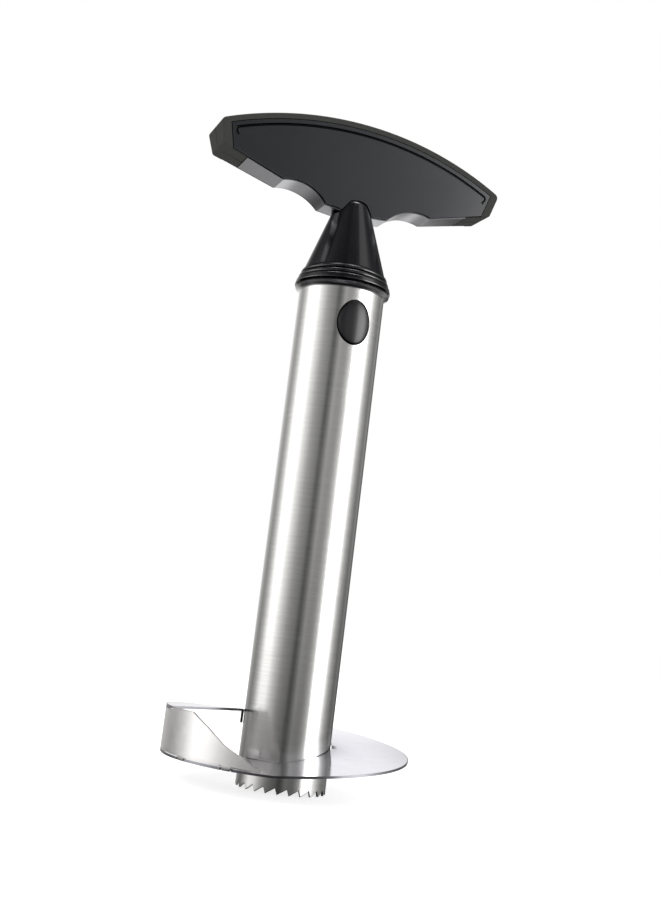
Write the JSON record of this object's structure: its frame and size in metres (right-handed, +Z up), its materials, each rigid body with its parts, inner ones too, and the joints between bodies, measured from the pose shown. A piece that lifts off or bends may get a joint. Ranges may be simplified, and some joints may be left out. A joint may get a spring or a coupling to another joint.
{
  "type": "pineapple slicer",
  "caption": "Twist-down pineapple slicer: toothed steel coring tube, spiral ring blade with rim cutter, black cone collar and T handle with squeeze-release buttons.",
  "frame": {"origin": "on the coring tube's axis, level with the tips of its teeth", "axes": "+Z up the tube towards the handle, X along the handle, -Y towards the front button"},
  "size_m": [0.1144, 0.0874, 0.2451],
  "materials": {
    "tube_steel": "satin",
    "blade_steel": "polished",
    "handle_silver": "satin",
    "gloss_black": "gloss",
    "cover_charcoal": "satin",
    "grip_rubber": "matte",
    "button_grey": "satin",
    "plug_black": "satin",
    "zinc_steel": "satin",
    "brass": "satin"
  },
  "bodies": {
    "slicer": {"tube": "tube_steel", "spiral_blade": "blade_steel", "rim_cutter": "blade_steel", "cone_collar": "gloss_black", "plug_left": "plug_black", "plug_right": "plug_black", "plug_screw_front": "zinc_steel", "plug_screw_back": "zinc_steel", "stem_bolt": "zinc_steel", "stem_washer": "zinc_steel", "threaded_insert": "brass", "handle_core": "handle_silver", "front_panel": "cover_charcoal", "back_panel": "cover_charcoal", "grip_band": "grip_rubber", "front_button_spring": "zinc_steel", "back_button_spring": "zinc_steel"},
    "front_button": {"front_button": "button_grey"},
    "back_button": {"back_button": "button_grey"}
  },
  "joints": [
    {"name": "front_button_press", "type": "slide", "parent": "slicer", "child": "front_button", "axis": [0, 1, 0], "range_m": [0, 0.003], "stiffness_N_per_m": 400, "springref_m": -0.001, "deforming": ["front_button_spring"]},
    {"name": "back_button_press", "type": "slide", "parent": "slicer", "child": "back_button", "axis": [0, -1, 0], "range_m": [0, 0.003], "stiffness_N_per_m": 400, "springref_m": -0.001, "deforming": ["back_button_spring"]}
  ]
}
